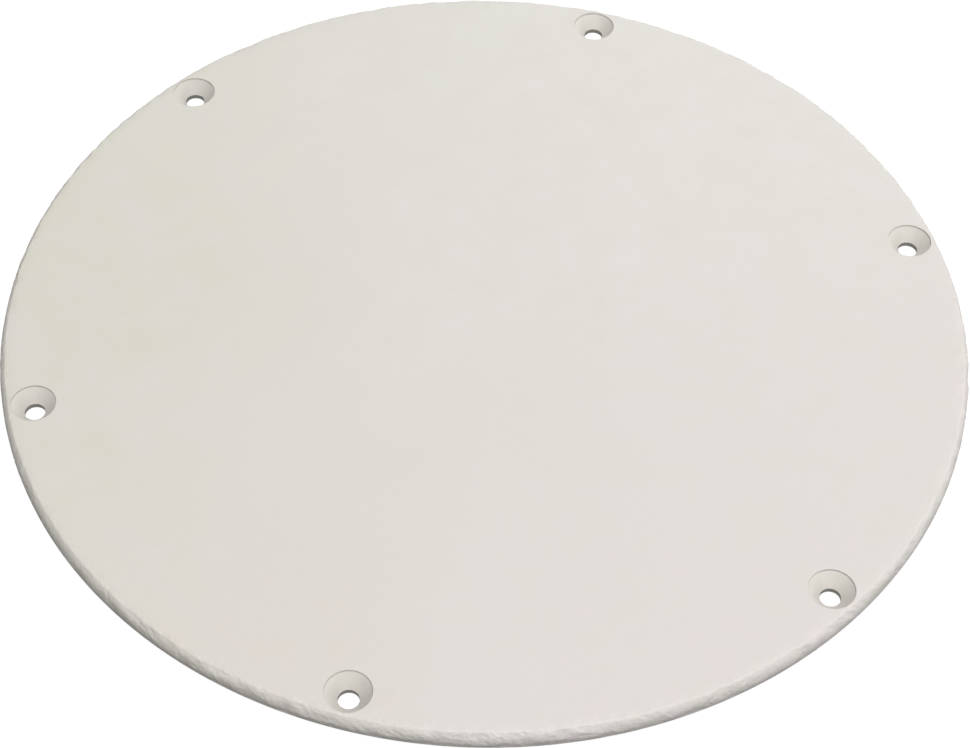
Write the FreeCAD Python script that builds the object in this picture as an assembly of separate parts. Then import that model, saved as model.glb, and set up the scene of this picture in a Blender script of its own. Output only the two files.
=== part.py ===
import FreeCAD, Part
import math
import os

os.makedirs("parts", exist_ok=True)

# Deck inspection plate: a round, flat plastic cover that a ring of flat-head screws holds over an opening in a
# deck. Millimetres and degrees. The origin is the centre of the back, which lies on Z = 0. The face looks up
# along +Z, and the first screw hole is on +X.

# Plate
plate_diameter = 203.2
plate_thickness = 4.0

# Rim, from the back up: a small rounding, a straight band, a wide arc that leans in, and a small rounding
# that breaks its edge with the face
back_edge_radius = 0.8
rim_band_height = 0.6
rim_lean_width = 1.5
face_break_radius = 0.5

# Screw holes, each of which widens to a cone under a low upright wall at the face
screw_count = 6
screw_edge_distance = 6.35  # from the plate's outline to each hole's centre
screw_hole_diameter = 4.2
countersink_diameter = 9.3
countersink_angle = 90.0  # the whole angle of the cone
countersink_wall_height = 0.35

Z_AXIS = FreeCAD.Vector(0, 0, 1)
ORIGIN = FreeCAD.Vector(0, 0, 0)


def point(radius, height):
    """A point of a section, which is drawn in the XZ plane."""
    return FreeCAD.Vector(radius, 0, height)


def arc(centre, radius, start, end):
    """An arc of a section about centre, between two angles above +X."""
    ends_and_middle = []
    for angle in (start, (start + end) / 2, end):
        turn = math.radians(angle)
        ends_and_middle.append(centre + point(radius * math.cos(turn), radius * math.sin(turn)))
    return Part.Arc(*ends_and_middle).toShape()


def turned(edges):
    """The solid that a closed section makes in one turn about Z."""
    section = Part.Face(Part.Wire(edges))
    return section.revolve(ORIGIN, Z_AXIS, 360)


def plate_blank():
    """The plate before its holes.

    The leaning arc is tangent to the straight band, and the face's rounding is tangent to that arc and to the
    face, so its centre lies on the line from the arc's centre to the point where the two meet.
    """
    rim = plate_diameter / 2
    lean_height = plate_thickness - back_edge_radius - rim_band_height
    lean_width = min(rim_lean_width, 0.9 * lean_height)  # steeper than 45 degrees, however thin the plate
    lean_radius = (lean_width**2 + lean_height**2) / (2 * lean_width)
    lean_centre = point(rim - lean_radius, plate_thickness - lean_height)

    break_radius = min(face_break_radius, lean_height / 2)
    reach = lean_radius - break_radius
    meeting = math.degrees(math.asin((lean_height - break_radius) / reach))
    break_centre = point(
        lean_centre.x + reach * math.cos(math.radians(meeting)), plate_thickness - break_radius
    )

    back_round_centre = point(rim - back_edge_radius, back_edge_radius)
    return turned(
        [
            Part.makeLine(ORIGIN, point(back_round_centre.x, 0)),
            arc(back_round_centre, back_edge_radius, -90, 0),
            Part.makeLine(point(rim, back_edge_radius), point(rim, lean_centre.z)),
            arc(lean_centre, lean_radius, 0, meeting),
            arc(break_centre, break_radius, meeting, 90),
            Part.makeLine(point(break_centre.x, plate_thickness), point(0, plate_thickness)),
            Part.makeLine(point(0, plate_thickness), ORIGIN),
        ]
    )


def screw_cutter():
    """The room that one screw takes, on the Z axis: a straight hole, the cone for its head and the upright wall.

    It reaches one thickness past the plate's face and back.
    """
    hole_radius = screw_hole_diameter / 2
    mouth_radius = countersink_diameter / 2
    cone_top = plate_thickness - countersink_wall_height
    cone_foot = cone_top - (mouth_radius - hole_radius) / math.tan(math.radians(countersink_angle / 2))
    outline = [
        point(0, -plate_thickness),
        point(hole_radius, -plate_thickness),
        point(hole_radius, cone_foot),
        point(mouth_radius, cone_top),
        point(mouth_radius, 2 * plate_thickness),
        point(0, 2 * plate_thickness),
        point(0, -plate_thickness),
    ]
    return turned(Part.makePolygon(outline).Edges)


def inspection_plate():
    """The blank, cut by the ring of screw holes."""
    bolt_circle_radius = plate_diameter / 2 - screw_edge_distance
    cutters = []
    for number in range(screw_count):
        cutter = screw_cutter()
        cutter.translate(point(bolt_circle_radius, 0))
        cutter.rotate(ORIGIN, Z_AXIS, 360 * number / screw_count)
        cutters.append(cutter)
    return plate_blank().cut(cutters)


inspection_plate().exportStep("parts/inspection_plate.step")
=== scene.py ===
import math

import bpy
import numpy as np
from mathutils import Matrix, Vector, noise
from mathutils.geometry import delaunay_2d_cdt


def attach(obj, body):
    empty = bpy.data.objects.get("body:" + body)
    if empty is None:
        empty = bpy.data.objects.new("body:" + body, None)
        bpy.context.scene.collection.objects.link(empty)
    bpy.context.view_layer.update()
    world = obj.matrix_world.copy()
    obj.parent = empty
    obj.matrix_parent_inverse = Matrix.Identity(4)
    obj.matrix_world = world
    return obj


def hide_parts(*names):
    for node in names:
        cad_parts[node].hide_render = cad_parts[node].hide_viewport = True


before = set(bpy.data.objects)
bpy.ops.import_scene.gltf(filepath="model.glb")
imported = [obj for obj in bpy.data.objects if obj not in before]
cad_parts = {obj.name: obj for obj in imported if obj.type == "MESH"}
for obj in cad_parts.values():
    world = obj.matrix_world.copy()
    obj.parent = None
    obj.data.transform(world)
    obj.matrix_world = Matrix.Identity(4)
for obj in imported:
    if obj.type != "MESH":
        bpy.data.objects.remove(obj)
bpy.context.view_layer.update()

# The plate and the places on it are in millimetres, and its mesh is scaled to metres. The camera, the lamps
# and the floor are in metres.
MILLIMETRE = 0.001

# The plate's section, a hair inside its CAD box. The rim goes up from the back as a small rounding, a
# straight band, a wide arc that leans in and a rounding that breaks its edge with the face.
BOX_GAP = 0.02
RIM_RADIUS = 101.6 - BOX_GAP
FACE_HEIGHT = 4.0
BACK_EDGE_RADIUS = 0.8
RIM_BAND_HEIGHT = 0.6
RIM_LEAN_WIDTH = 1.1
FACE_BREAK_RADIUS = 0.6

# Screw holes. Each cone starts under a low upright step, and its wall carries faint rings from the cutter.
SCREW_COUNT = 6
SCREW_CIRCLE_RADIUS = 95.25
HOLE_RADIUS = 2.1
HOLE_BACK_BREAK = 0.04
SINK_RADIUS = 4.65
SINK_HALF_ANGLE = math.radians(45)
SINK_STEP_HEIGHT = 0.35
SINK_STEP_LEAN = 0.01
SINK_TOP = FACE_HEIGHT - SINK_STEP_HEIGHT
SINK_FOOT = SINK_TOP - (SINK_RADIUS - HOLE_RADIUS) / math.tan(SINK_HALF_ANGLE)
SINK_RING_PITCH = 0.45
SINK_RING_DEPTH = 0.004

# Mesh: points round the rim and round a hole, rows along their sections, and the flat sheets' cells, which
# grow from row to row up to a limit. A sheet's rows lie a share of a cell apart, as in even triangles, and
# run round each hole within a zone of its own.
RIM_POINTS = 2640
HOLE_POINTS = 96
BACK_EDGE_ROWS = 4
RIM_BAND_ROWS = 2
RIM_LEAN_ROWS = 11
FACE_BREAK_ROWS = 3
ROWS_PER_SINK_RING = 4
FACE_CELL = 2.6
FACE_CELL_GROWTH = 1.25
BACK_CELL = 3.5
BACK_CELL_GROWTH = 1.6
ROW_PITCH = 0.87
HOLE_ZONE = 8.0
SHARP_ANGLE = math.radians(35)

# Triangulation of the flat sheets: only what lies within the outer edge is wanted, points this close are
# joined, and a triangle whose middle is nearer to a hole's axis than this share of its radius is left out
WITHIN_EDGES = 1
JOIN_DISTANCE = 1e-7
HOLE_FILL_SHARE = 0.999

# The skin along the rim: a pebbled grain, slow swells, and an edge that is worn more in some places than in
# others. Each is a share of its depth plus noise with waves of its length, and the shift sets the noises
# apart. A place across the rim is its drop below the face less its way in from the outline: under 0 on the
# face and over 0 down the rim.
SKIN_SHARE = 0.35
NOISE_SHIFT = 37.7
PEBBLE_DEPTH = 0.09
PEBBLE_LENGTH = 0.8
SWELL_DEPTH = 0.22
SWELL_LENGTH = 2.8
WEAR_DEPTH = 0.16
WEAR_LENGTH = 5.0
WEAR_PLACE = -0.8
WEAR_WIDTH = 1.0

# How strong the pebbles and swells are, which changes slowly round the rim, and how the whole skin fades:
# the pairs are a place across the rim and the strength there.
STRENGTH_MEAN = 0.75
STRENGTH_RANGE = (0.3, 1.0)
STRENGTH_LENGTH = 22.0
SKIN_FADE = ((-2.8, 0.0), (-1.6, 0.6), (-0.9, 1.0), (2.4, 1.0), (3.2, 0.7))

# Small torn marks in the skin. The ranges are for their places across the rim, lengths, widths, slants in
# degrees and depths, where a depth under 0 fills the skin up again. A mark reaches this many of its lengths.
MARK_COUNT = 2600
MARK_PLACES = (-2.0, 3.0)
MARK_LENGTHS = (0.35, 1.1)
MARK_WIDTHS = (0.18, 0.34)
MARK_SLANTS = (10, 60)
MARK_DEPTHS = (-0.05, 0.09)
MARK_REACH = 3
MARK_SEED = 5

# Which points the skin moves: those as high as the face and those on the rim, from a place across the rim on
FACE_TOLERANCE = 0.001
RIM_WIDTH = 1.7
SKIN_START = -4

# Colours: the plastic's own, where it is pinker, in its mottles and where it is cut, then the tint that
# makes it yellower, and the darkest speckles
PLAIN_COLOUR = (0.780, 0.763, 0.717, 1)
PINKER_COLOUR = (0.784, 0.726, 0.712, 1)
MOTTLE_COLOUR = (0.760, 0.731, 0.682, 1)
CUT_COLOUR = (0.773, 0.743, 0.690, 1)
YELLOWER_TINT = (0.951, 0.954, 0.876, 1)
SPECKLE_SHADE = 0.98

# Which ways the plate turns pinker and yellower and the painted shade at its foot grows, and between
# which shares of its radius these and the painted shade in its cones, which grows the yellower way, do so.
# Clouds shift these places, by this many millimetres at most.
PINKER_WAY = (0, -1, 0)
YELLOWER_WAY = (-0.99, 0.10, 0)
FOOT_PAINTED_SHADE_WAY = (-0.82, -0.57, 0)
PINKER_SPAN = (-1.0, 1.0)
YELLOWER_SPAN = (-0.05, 0.85)
CONE_PAINTED_SHADE_SPAN = (-0.1, 0.5)
FOOT_PAINTED_SHADE_SPAN = (-0.1, 0.6)
CLOUD_SHIFT = 35

# Painted shade, as the share of the colour that it leaves: at the rim's foot, in the cones on the yellower
# side and on the other one, under their steps and in the holes. Each darkens the colour where shade falls.
FOOT_PAINTED_SHADE = 0.74
CONE_PAINTED_SHADE_STRONG = 0.89
CONE_PAINTED_SHADE_WEAK = 0.95
STEP_PAINTED_SHADE = 0.75
HOLE_PAINTED_SHADE = 0.55

# Between which heights the colour changes: just over the back, at the top of the straight holes and of the
# rim's foot with its painted shade, at the foot of the steps, and at the top of the cut plastic and of the
# steps
BACK_EDGE = (0.01, 0.04)
HOLE_TOP = (SINK_FOOT - 0.05, SINK_FOOT + 0.02)
FOOT_TOP = (1.3, 1.8)
STEP_FOOT = (SINK_TOP - 0.20, SINK_TOP)
CUT_TOP = (SINK_TOP - 0.05, FACE_HEIGHT - 0.10)
STEP_TOP = (FACE_HEIGHT - 0.15, FACE_HEIGHT - 0.02)

# Between which distances the colours of a screw hole end, from its axis, and the rim's grain starts, from
# the plate's axis
SINK_EDGE = (SINK_RADIUS + 0.01, SINK_RADIUS + 0.10)
RIM_GRAIN_EDGE = (97.5, 100.3)

# Noise in the material, in waves per metre, the values that most of it lies between, and the strength of the
# moulded grain and the depths of all grain, in metres
CLOUD_WAVES = 14
MOTTLE_WAVES = 130
GLOSS_WAVES = 420
PEBBLE_WAVES = 900
RIM_GRAIN_WAVES = 2400
SPECKLE_WAVES = 2600
GRAIN_WAVES = 3600
NOISE_ROUGHNESS = 0.55
NOISE_LOW = 0.3
NOISE_MIDDLE = 0.5
NOISE_HIGH = 0.7
MOULDED_STRENGTH = 0.5
PEBBLE_BUMP = 0.00003
GRAIN_BUMP = 0.00001
RIM_GRAIN_BUMP = 0.00010

# Gloss of the plastic
ROUGHNESS_RANGE = (0.50, 0.66)
PLASTIC_IOR = 1.49

# Camera, in metres and degrees. It looks at the plate from the front left: the first hole is at the right.
CAMERA_PLACE = (-0.086090, -0.312553, 0.377250)
CAMERA_TURN = -15.420
CAMERA_DIP = 50.364
CAMERA_ROLL = 1.261
CAMERA_LENS = 87.06
CAMERA_SENSOR = 36.0
CAMERA_NEAR = 0.01
CAMERA_FAR = 50

# Lamps: name, azimuth from +X and elevation in degrees, distance and side in metres, and strength as its
# share of the light that shows a colour as it is written
LAMPS = (
    ("overhead", -75, 75, 2.2, 1.1, 0.862),
    ("low_back", 20, 12, 1.2, 0.4, 0.138),
    ("near_back", 60, 25, 0.5, 0.25, 0.157),
    ("low_right", -20, 12, 1.2, 0.4, 0.148),
    ("low_front", -95, 12, 1.2, 0.4, 0.103),
    ("low_left", -130, 12, 1.2, 0.4, 0.076),
    ("front_left", -110, 35, 1.4, 0.6, 0.037),
)

# Floor: its size in metres, the mottles in its tone, its shade for the camera and for the plate, and its
# glow
FLOOR_DROP = 0.0002
FLOOR_RADIUS = 4.0
FLOOR_RINGS = (1, 0.5, 0.2, 0.05)
FLOOR_POINTS = 96
FLOOR_WAVES = 6
FLOOR_TONES = (0.97, 1.0)
FLOOR_SHADE = 0.15
FLOOR_BOUNCE = 0.03
FLOOR_GLOW = 0.93


def arc(centre, radius, start, end, steps):
    """Points (radius, height) along an arc, after its first one. Angles are in degrees above the radius."""
    points = []
    for step in range(1, steps + 1):
        angle = math.radians(start + (end - start) * step / steps)
        points.append((centre[0] + radius * math.cos(angle), centre[1] + radius * math.sin(angle)))
    return points


def rim_section():
    """Points (radius, height) from the edge of the flat back, up the rim, to the edge of the flat face."""
    foot = BACK_EDGE_RADIUS + RIM_BAND_HEIGHT
    lean_height = FACE_HEIGHT - foot
    lean_radius = (RIM_LEAN_WIDTH**2 + lean_height**2) / (2 * RIM_LEAN_WIDTH)
    lean_centre = (RIM_RADIUS - lean_radius, foot)
    reach = lean_radius - FACE_BREAK_RADIUS
    meeting = math.degrees(math.asin((lean_height - FACE_BREAK_RADIUS) / reach))
    break_centre = (
        lean_centre[0] + reach * math.cos(math.radians(meeting)),
        FACE_HEIGHT - FACE_BREAK_RADIUS,
    )
    back_centre = (RIM_RADIUS - BACK_EDGE_RADIUS, BACK_EDGE_RADIUS)
    section = [(RIM_RADIUS - BACK_EDGE_RADIUS, 0.0)]
    section += arc(back_centre, BACK_EDGE_RADIUS, -90, 0, BACK_EDGE_ROWS)
    for row in range(1, RIM_BAND_ROWS + 1):
        section.append((RIM_RADIUS, BACK_EDGE_RADIUS + RIM_BAND_HEIGHT * row / RIM_BAND_ROWS))
    section += arc(lean_centre, lean_radius, 0, meeting, RIM_LEAN_ROWS)
    section += arc(break_centre, FACE_BREAK_RADIUS, meeting, 90, FACE_BREAK_ROWS)
    return section


def hole_section():
    """Points (radius, height) from a countersink's mouth down to the back."""
    wall_length = (SINK_RADIUS - HOLE_RADIUS) / math.sin(SINK_HALF_ANGLE)
    rows = round(ROWS_PER_SINK_RING * wall_length / SINK_RING_PITCH)
    section = [(SINK_RADIUS, FACE_HEIGHT), (SINK_RADIUS - SINK_STEP_LEAN, SINK_TOP)]
    for row in range(1, rows):
        share = row / rows
        ring = SINK_RING_DEPTH * math.sin(2 * math.pi * share * wall_length / SINK_RING_PITCH)
        radius = SINK_RADIUS - (SINK_RADIUS - HOLE_RADIUS) * share + ring
        section.append((radius, SINK_TOP + (SINK_FOOT - SINK_TOP) * share))
    section += [(HOLE_RADIUS, SINK_FOOT), (HOLE_RADIUS, SINK_FOOT / 2), (HOLE_RADIUS, HOLE_BACK_BREAK)]
    section.append((HOLE_RADIUS + HOLE_BACK_BREAK, 0.0))
    return section


def hole_centres():
    """Where the screw holes' axes cross the plate."""
    centres = []
    for number in range(SCREW_COUNT):
        angle = 2 * math.pi * number / SCREW_COUNT
        centres.append((SCREW_CIRCLE_RADIUS * math.cos(angle), SCREW_CIRCLE_RADIUS * math.sin(angle)))
    return centres


def circle(centre, radius, count, shift=0.0):
    """Points (x, y) round a circle. shift moves them by that share of a step."""
    points = []
    for number in range(count):
        angle = 2 * math.pi * (number + shift) / count
        points.append((centre[0] + radius * math.cos(angle), centre[1] + radius * math.sin(angle)))
    return points


def sheet_row(centre, radius, cell, row):
    """Points (x, y) of one ring of a sheet. Every other ring is turned by half a cell."""
    return circle(centre, radius, round(2 * math.pi * radius / cell), row % 2 / 2)


def sheet_points(outer_radius, outer_cell, hole_radius, hole_cell, cell_limit, growth):
    """Points (x, y) for a flat sheet: rings that widen away from its rim and away from each hole."""
    centres = hole_centres()
    points = [(0.0, 0.0)]
    radius, cell, row = outer_radius, outer_cell, 0
    while radius > 2 * cell:
        radius -= ROW_PITCH * cell
        cell = min(cell_limit, cell * growth)
        row += 1
        for point in sheet_row((0, 0), radius, cell, row):
            if min(math.dist(point, centre) for centre in centres) > HOLE_ZONE:
                points.append(point)
    radius, cell, row = hole_radius, hole_cell, 0
    while radius + ROW_PITCH * cell < HOLE_ZONE - cell / 3:
        radius += ROW_PITCH * cell
        cell = min(cell_limit, cell * growth)
        row += 1
        for centre in centres:
            for point in sheet_row(centre, radius, cell, row):
                if math.hypot(*point) < outer_radius - cell / 2:
                    points.append(point)
    return points


class Shell:
    """The points and faces of one surface."""

    def __init__(self):
        self.points = []
        self.faces = []

    def loops(self, centre, section, count):
        """One closed loop of points for each (radius, height) of a section, as lists of their numbers."""
        made = []
        for radius, height in section:
            start = len(self.points)
            self.points += [(x, y, height) for x, y in circle(centre, radius, count)]
            made.append(list(range(start, start + count)))
        return made

    def bands(self, loops):
        """Faces between neighbouring loops. They look out where the loops run upwards, else inwards."""
        for below, above in zip(loops, loops[1:]):
            for near in range(len(below)):
                far = (near + 1) % len(below)
                self.faces.append((below[near], below[far], above[far], above[near]))

    def sheet(self, outer, holes, inside, height, looks_up):
        """A flat sheet of triangles from an outer loop to the holes' loops, through points inside it."""
        numbers = [number for loop in (outer, *holes) for number in loop]
        numbers += range(len(self.points), len(self.points) + len(inside))
        self.points += [(x, y, height) for x, y in inside]
        edges = []
        first = 0
        for loop in (outer, *holes):
            edges += [(first + near, first + (near + 1) % len(loop)) for near in range(len(loop))]
            first += len(loop)
        flat = [Vector(self.points[number][:2]) for number in numbers]
        made, _, triangles, origins, _, _ = delaunay_2d_cdt(flat, edges, [], WITHIN_EDGES, JOIN_DISTANCE)
        centres = hole_centres()
        limit = HOLE_FILL_SHARE * math.dist(self.points[holes[0][0]][:2], centres[0])
        for triangle in triangles:
            middle = sum((made[corner] for corner in triangle), Vector((0, 0))) / 3
            if min(math.dist(middle, centre) for centre in centres) < limit:
                continue
            face = [numbers[origins[corner][0]] for corner in triangle]
            self.faces.append(tuple(face if looks_up else reversed(face)))


def plate_shell():
    """The plate's closed surface before its skin gets its grain."""
    shell = Shell()
    rim = shell.loops((0, 0), rim_section(), RIM_POINTS)
    shell.bands(rim)
    mouths, ends = [], []
    for centre in hole_centres():
        wall = shell.loops(centre, hole_section(), HOLE_POINTS)
        shell.bands(wall)
        mouths.append(wall[0])
        ends.append(wall[-1])
    rim_cell = 2 * math.pi * RIM_RADIUS / RIM_POINTS
    for outer, holes, hole_radius, cell, growth, height in (
        (rim[-1], mouths, SINK_RADIUS, FACE_CELL, FACE_CELL_GROWTH, FACE_HEIGHT),
        (rim[0], ends, HOLE_RADIUS + HOLE_BACK_BREAK, BACK_CELL, BACK_CELL_GROWTH, 0.0),
    ):
        outer_radius = math.hypot(*shell.points[outer[0]][:2])
        hole_cell = 2 * math.pi * hole_radius / HOLE_POINTS
        inside = sheet_points(outer_radius, rim_cell, hole_radius, hole_cell, cell, growth)
        shell.sheet(outer, holes, inside, height, height > 0)
    return shell


def waves(place, length, number):
    """Smooth noise about 0, with waves of a length in millimetres. Each number has a noise of its own."""
    return noise.noise((place + Vector((0, 0, NOISE_SHIFT * number))) / length)


def rim_places(points):
    """For each point, its place round the rim and its place across the rim, over the edge of the face."""
    radius = np.hypot(points[:, 0], points[:, 1])
    around = np.arctan2(points[:, 1], points[:, 0]) * RIM_RADIUS
    across = (FACE_HEIGHT - points[:, 2]) - (RIM_RADIUS - radius)
    return around, across


def skin_depth(around, across):
    """How far the rim's pebbled and wavy skin lies under the plain section at one place."""
    angle = around / RIM_RADIUS
    side = Vector((math.cos(angle), math.sin(angle), 0)) * RIM_RADIUS
    weakest, strongest = STRENGTH_RANGE
    strength = max(weakest, min(strongest, STRENGTH_MEAN + waves(side, STRENGTH_LENGTH, 2)))
    pebbles = SKIN_SHARE + waves(side + Vector((0, 0, across)), PEBBLE_LENGTH, 1)
    swells = SKIN_SHARE + waves(side + Vector((0, 0, across)), SWELL_LENGTH, 3)
    wear = max(0.0, SKIN_SHARE + waves(side, WEAR_LENGTH, 4))
    wear *= math.exp(-(((across - WEAR_PLACE) / WEAR_WIDTH) ** 2))
    return strength * (PEBBLE_DEPTH * pebbles + SWELL_DEPTH * swells) + WEAR_DEPTH * wear


def add_marks(depth, around, across):
    """Adds the torn marks to the depth of the points, which come in order round the rim."""
    chance = np.random.default_rng(MARK_SEED)
    for _ in range(MARK_COUNT):
        place_around = chance.uniform(-math.pi, math.pi) * RIM_RADIUS
        place_across = chance.uniform(*MARK_PLACES)
        length = chance.uniform(*MARK_LENGTHS)
        width = chance.uniform(*MARK_WIDTHS)
        slant = math.radians(chance.uniform(*MARK_SLANTS))
        sunk = chance.uniform(*MARK_DEPTHS)
        reach = MARK_REACH * length
        first, last = np.searchsorted(around, (place_around - reach, place_around + reach))
        aside = around[first:last] - place_around
        down = across[first:last] - place_across
        lengthwise = (down * math.cos(slant) + aside * math.sin(slant)) / length
        widthwise = (aside * math.cos(slant) - down * math.sin(slant)) / width
        depth[first:last] += sunk * np.exp(-(lengthwise**2) - widthwise**2)


def press_skin(mesh):
    """Sinks each point of the rim by the depth of its skin, straight into the surface."""
    points = np.empty(len(mesh.vertices) * 3)
    mesh.vertices.foreach_get("co", points)
    points = points.reshape(-1, 3)
    normals = np.array([normal.vector for normal in mesh.vertex_normals])
    around, across = rim_places(points)
    radius, height = np.hypot(points[:, 0], points[:, 1]), points[:, 2]
    on_face = height > FACE_HEIGHT - FACE_TOLERANCE
    on_rim = (height > BACK_EDGE_RADIUS) & (radius > RIM_RADIUS - RIM_WIDTH)
    chosen = np.flatnonzero((on_face | on_rim) & (across > SKIN_START))
    chosen = chosen[np.argsort(around[chosen])]
    around, across = around[chosen], across[chosen]
    depth = np.array([skin_depth(*place) for place in zip(around, across)])
    add_marks(depth, around, across)
    depth = np.maximum(depth, 0) * np.interp(across, *zip(*SKIN_FADE))
    points[chosen] -= normals[chosen] * depth[:, None]
    mesh.vertices.foreach_set("co", points.ravel())
    mesh.update()


def build_plate(material):
    """The plate as one closed mesh, in metres."""
    shell = plate_shell()
    mesh = bpy.data.meshes.new("plate")
    mesh.from_pydata(shell.points, [], shell.faces)
    mesh.update()
    press_skin(mesh)
    mesh.transform(Matrix.Scale(MILLIMETRE, 4))
    mesh.shade_smooth()
    mesh.set_sharp_from_angle(angle=SHARP_ANGLE)
    mesh.materials.append(material)
    plate = bpy.data.objects.new("plate", mesh)
    bpy.context.scene.collection.objects.link(plate)
    return plate


def grey(shade):
    """A colour without tint."""
    return (shade, shade, shade, 1)


def node(tree, kind, settings=None, **sockets):
    """A new shader node. settings are its own properties, sockets the values of its inputs."""
    made = tree.nodes.new(kind)
    for name, value in (settings or {}).items():
        setattr(made, name, value)
    for name, value in sockets.items():
        made.inputs[name.replace("_", " ")].default_value = value
    return made


def noise_node(tree, place, scale, detail):
    """Noise at a place, with its scale in waves per metre."""
    made = node(tree, "ShaderNodeTexNoise", Scale=scale, Detail=detail, Roughness=NOISE_ROUGHNESS)
    tree.links.new(place, made.inputs["Vector"])
    return made.outputs["Fac"]


def mixed(tree, share, first, second, blend="MIX"):
    """Two colours mixed. share, first and second are values or the outputs of nodes.

    The node has sockets of the same name for each kind of data, so those for colours go by their number.
    """
    made = node(tree, "ShaderNodeMix", {"data_type": "RGBA", "blend_type": blend})
    for socket, value in ((0, share), (6, first), (7, second)):
        if hasattr(value, "node"):
            tree.links.new(value, made.inputs[socket])
        else:
            made.inputs[socket].default_value = value
    return made.outputs[2]


def multiplied(tree, first, second):
    """Two colours multiplied."""
    return mixed(tree, 1.0, first, second, "MULTIPLY")


def combined(tree, operation, first, second):
    """Two values joined by a sum, a minimum or a maximum."""
    made = node(tree, "ShaderNodeMath", {"operation": operation})
    tree.links.new(first, made.inputs[0])
    tree.links.new(second, made.inputs[1])
    return made.outputs[0]


def ranged(tree, value, low, high, from_low=NOISE_LOW, from_high=NOISE_HIGH):
    """A node's output, stretched to run from low to high. Without limits of its own it is taken as noise."""
    made = node(tree, "ShaderNodeMapRange", From_Min=from_low, From_Max=from_high, To_Min=low, To_Max=high)
    tree.links.new(value, made.inputs["Value"])
    return made.outputs["Result"]


def bumped(tree, height, strength, distance, below=None):
    """A normal from a height, on top of the normal below."""
    made = node(tree, "ShaderNodeBump", Strength=strength, Distance=distance)
    tree.links.new(height, made.inputs["Height"])
    if below is not None:
        tree.links.new(below, made.inputs["Normal"])
    return made.outputs["Normal"]


def lying_along(tree, place, direction):
    """How far a place lies along a direction, in metres."""
    made = node(tree, "ShaderNodeVectorMath", {"operation": "DOT_PRODUCT"})
    tree.links.new(place, made.inputs[0])
    made.inputs[1].default_value = direction
    return made.outputs["Value"]


def across_plate(tree, place, direction, span):
    """From 0 to 1 between two shares of the plate's radius along a direction, with clouds in it."""
    shift = CLOUD_SHIFT * MILLIMETRE
    reach = RIM_RADIUS * MILLIMETRE
    clouds = ranged(tree, noise_node(tree, place, CLOUD_WAVES, 2), -shift, shift)
    cloudy_place = combined(tree, "ADD", lying_along(tree, place, direction), clouds)
    return ranged(tree, cloudy_place, 0, 1, span[0] * reach, span[1] * reach)


def by_height(tree, place, low, high, limits):
    """A value that runs from low at one height to high at another. The heights are in millimetres."""
    height = lying_along(tree, place, (0, 0, 1))
    return ranged(tree, height, low, high, limits[0] * MILLIMETRE, limits[1] * MILLIMETRE)


def distance_from(tree, place, x, y):
    """How far a place lies from the upright line through (x, y), in metres."""
    flat = node(tree, "ShaderNodeVectorMath", {"operation": "MULTIPLY"})
    tree.links.new(place, flat.inputs[0])
    flat.inputs[1].default_value = (1, 1, 0)
    away = node(tree, "ShaderNodeVectorMath", {"operation": "DISTANCE"})
    tree.links.new(flat.outputs["Vector"], away.inputs[0])
    away.inputs[1].default_value = (x * MILLIMETRE, y * MILLIMETRE, 0)
    return away.outputs["Value"]


def near_rim(tree, place):
    """0 on most of the plate, and 1 close to its rim."""
    start, end = RIM_GRAIN_EDGE
    return ranged(tree, distance_from(tree, place, 0, 0), 0, 1, start * MILLIMETRE, end * MILLIMETRE)


def in_holes(tree, place):
    """1 in the countersinks and their holes, and 0 on the face and the back round them."""
    nearest, *others = (distance_from(tree, place, x, y) for x, y in hole_centres())
    for other in others:
        nearest = combined(tree, "MINIMUM", nearest, other)
    start, end = SINK_EDGE
    within = ranged(tree, nearest, 1, 0, start * MILLIMETRE, end * MILLIMETRE)
    return mixed(tree, by_height(tree, place, 0, 1, BACK_EDGE), grey(0), within)


def cut_colour(tree, place, base):
    """The colour of the cut steps, cones and holes, which is yellower, with painted shade in them."""
    cut = mixed(tree, by_height(tree, place, 1, 0, CUT_TOP), base, CUT_COLOUR)
    # Painted shade in the cones: stronger on the yellower side, weaker on the other.
    weak_cone_shade = by_height(tree, place, CONE_PAINTED_SHADE_WEAK, 1, CUT_TOP)
    strong_cone_shade = by_height(tree, place, CONE_PAINTED_SHADE_STRONG, 1, CUT_TOP)
    cone = mixed(tree, across_plate(tree, place, YELLOWER_WAY, CONE_PAINTED_SHADE_SPAN), weak_cone_shade, strong_cone_shade)
    # Painted shade on the walls of the straight holes.
    hole = by_height(tree, place, HOLE_PAINTED_SHADE, 1, HOLE_TOP)
    # Painted shade under the steps at the countersinks' mouths.
    step = by_height(tree, place, 1, STEP_PAINTED_SHADE, STEP_FOOT)
    step = mixed(tree, by_height(tree, place, 0, 1, STEP_TOP), step, grey(1))
    # All the painted shade in the cones, holes and steps together.
    painted_shade = multiplied(tree, multiplied(tree, cone, hole), step)
    return multiplied(tree, cut, painted_shade)


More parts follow.
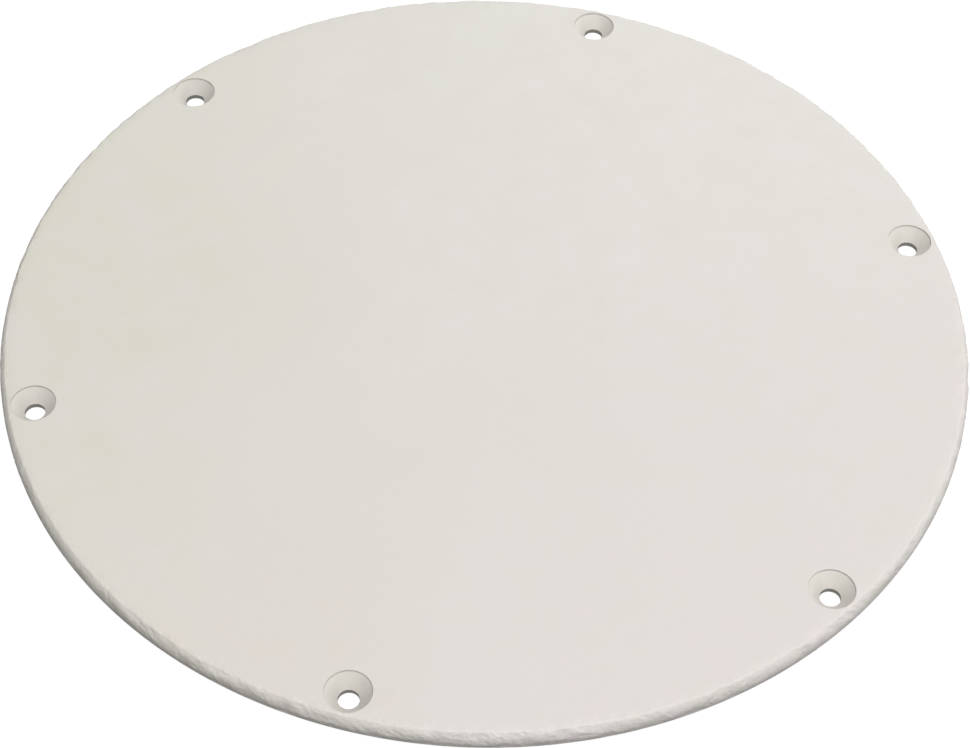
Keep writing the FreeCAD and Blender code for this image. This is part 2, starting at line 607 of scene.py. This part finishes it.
def plate_colour(tree, place):
    """The plate's clouded, mottled and speckled colour, with its cut parts and the painted shade at its foot
    and in its holes.
    """
    base = mixed(tree, across_plate(tree, place, PINKER_WAY, PINKER_SPAN), PLAIN_COLOUR, PINKER_COLOUR)
    yellower = across_plate(tree, place, YELLOWER_WAY, YELLOWER_SPAN)
    base = multiplied(tree, base, mixed(tree, yellower, grey(1), YELLOWER_TINT))
    mottle = ranged(tree, noise_node(tree, place, MOTTLE_WAVES, 3), 0, 1)
    base = mixed(tree, mottle, base, MOTTLE_COLOUR)

    # Painted shade at the rim's foot, strongest on one side of the plate.
    foot = multiplied(tree, base, by_height(tree, place, FOOT_PAINTED_SHADE, 1, FOOT_TOP))
    outside = mixed(tree, across_plate(tree, place, FOOT_PAINTED_SHADE_WAY, FOOT_PAINTED_SHADE_SPAN), base, foot)
    colour = mixed(tree, in_holes(tree, place), outside, cut_colour(tree, place, base))

    speckle = ranged(tree, noise_node(tree, place, SPECKLE_WAVES, 2), 0, 1)
    return multiplied(tree, colour, mixed(tree, speckle, grey(SPECKLE_SHADE), grey(1)))


def plate_normal(tree, place):
    """The plate's moulded grain, which is rougher on the rim."""
    pebble = bumped(tree, noise_node(tree, place, PEBBLE_WAVES, 2), MOULDED_STRENGTH, PEBBLE_BUMP)
    grain = bumped(tree, noise_node(tree, place, GRAIN_WAVES, 2), MOULDED_STRENGTH, GRAIN_BUMP, pebble)
    rough = noise_node(tree, place, RIM_GRAIN_WAVES, 2)
    rough = mixed(tree, near_rim(tree, place), grey(NOISE_MIDDLE), rough)
    return bumped(tree, rough, 1.0, RIM_GRAIN_BUMP, grain)


def plastic_material():
    """Matt off-white plastic."""
    material = bpy.data.materials.new("plate_plastic")
    material.use_nodes = True
    tree = material.node_tree
    shader = tree.nodes["Principled BSDF"]
    place = tree.nodes.new("ShaderNodeTexCoord").outputs["Object"]
    gloss = ranged(tree, noise_node(tree, place, GLOSS_WAVES, 3), *ROUGHNESS_RANGE)
    tree.links.new(plate_colour(tree, place), shader.inputs["Base Color"])
    tree.links.new(gloss, shader.inputs["Roughness"])
    tree.links.new(plate_normal(tree, place), shader.inputs["Normal"])
    shader.inputs["IOR"].default_value = PLASTIC_IOR
    return material


def light_path_share(tree):
    """1 for the rays that show the background: those from the camera, from gloss and through glass."""
    path = tree.nodes.new("ShaderNodeLightPath")
    share = path.outputs["Is Camera Ray"]
    for other in ("Is Glossy Ray", "Is Transmission Ray"):
        share = combined(tree, "MAXIMUM", share, path.outputs[other])
    return share


def floor_material():
    """A pale floor that glows white for the camera, keeps the plate's shadow and gives little light back."""
    material = bpy.data.materials.new("floor_white")
    material.use_nodes = True
    tree = material.node_tree
    tree.nodes.clear()
    place = tree.nodes.new("ShaderNodeTexCoord").outputs["Object"]
    share = light_path_share(tree)
    tone = ranged(tree, noise_node(tree, place, FLOOR_WAVES, 2), *FLOOR_TONES)
    colour = mixed(tree, share, grey(FLOOR_BOUNCE), grey(FLOOR_SHADE))
    colour = mixed(tree, tone, grey(0), colour)
    surface = tree.nodes.new("ShaderNodeBsdfDiffuse")
    tree.links.new(colour, surface.inputs["Color"])
    glow = node(tree, "ShaderNodeEmission", Color=grey(1))
    tree.links.new(ranged(tree, share, 0.0, FLOOR_GLOW, 0.0, 1.0), glow.inputs["Strength"])
    both = tree.nodes.new("ShaderNodeAddShader")
    tree.links.new(surface.outputs[0], both.inputs[0])
    tree.links.new(glow.outputs[0], both.inputs[1])
    output = tree.nodes.new("ShaderNodeOutputMaterial")
    tree.links.new(both.outputs[0], output.inputs["Surface"])
    return material


def build_floor():
    """A wide flat disc just under the plate."""
    shell = Shell()
    loops = shell.loops((0, 0), [(FLOOR_RADIUS * ring, -FLOOR_DROP) for ring in FLOOR_RINGS], FLOOR_POINTS)
    shell.bands(loops)
    shell.faces.append(tuple(loops[-1]))
    mesh = bpy.data.meshes.new("floor")
    mesh.from_pydata(shell.points, [], shell.faces)
    mesh.materials.append(floor_material())
    floor = bpy.data.objects.new("floor", mesh)
    bpy.context.scene.collection.objects.link(floor)
    return floor


def build_world():
    """White for the camera, and no light for the plate."""
    world = bpy.data.worlds.new("studio")
    bpy.context.scene.world = world
    world.use_nodes = True
    tree = world.node_tree
    background = tree.nodes["Background"]
    background.inputs["Color"].default_value = grey(1)
    tree.links.new(light_path_share(tree), background.inputs["Strength"])


def build_lamps():
    """Soft square lamps that face the plate. At share 1, a lamp shows a matt surface's colour as written."""
    for name, azimuth, elevation, distance, side, share in LAMPS:
        light = bpy.data.lights.new(name, "AREA")
        light.size = side
        light.energy = share * math.pi**2 * distance**2
        lamp = bpy.data.objects.new(name, light)
        turn, rise = math.radians(azimuth), math.radians(elevation)
        towards = Vector((math.cos(rise) * math.cos(turn), math.cos(rise) * math.sin(turn), math.sin(rise)))
        lamp.location = towards * distance
        lamp.rotation_mode = "QUATERNION"
        lamp.rotation_quaternion = towards.to_track_quat("Z", "Y")
        lamp.visible_camera = False
        bpy.context.scene.collection.objects.link(lamp)


def build_camera():
    """The camera, at the photograph's viewing angle."""
    data = bpy.data.cameras.new("camera")
    data.sensor_width = CAMERA_SENSOR
    data.lens = CAMERA_LENS
    data.clip_start = CAMERA_NEAR
    data.clip_end = CAMERA_FAR
    camera = bpy.data.objects.new("camera", data)
    turn = Matrix.Rotation(math.radians(CAMERA_TURN), 4, "Z")
    dip = Matrix.Rotation(math.radians(90 - CAMERA_DIP), 4, "X")
    roll = Matrix.Rotation(math.radians(CAMERA_ROLL), 4, "Z")
    camera.matrix_world = Matrix.Translation(CAMERA_PLACE) @ turn @ dip @ roll
    bpy.context.scene.collection.objects.link(camera)
    bpy.context.scene.camera = camera


plate = build_plate(plastic_material())
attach(plate, "root")
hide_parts("inspection_plate")
build_floor()
build_world()
build_lamps()
build_camera()
bpy.context.scene.view_settings.view_transform = "Standard"
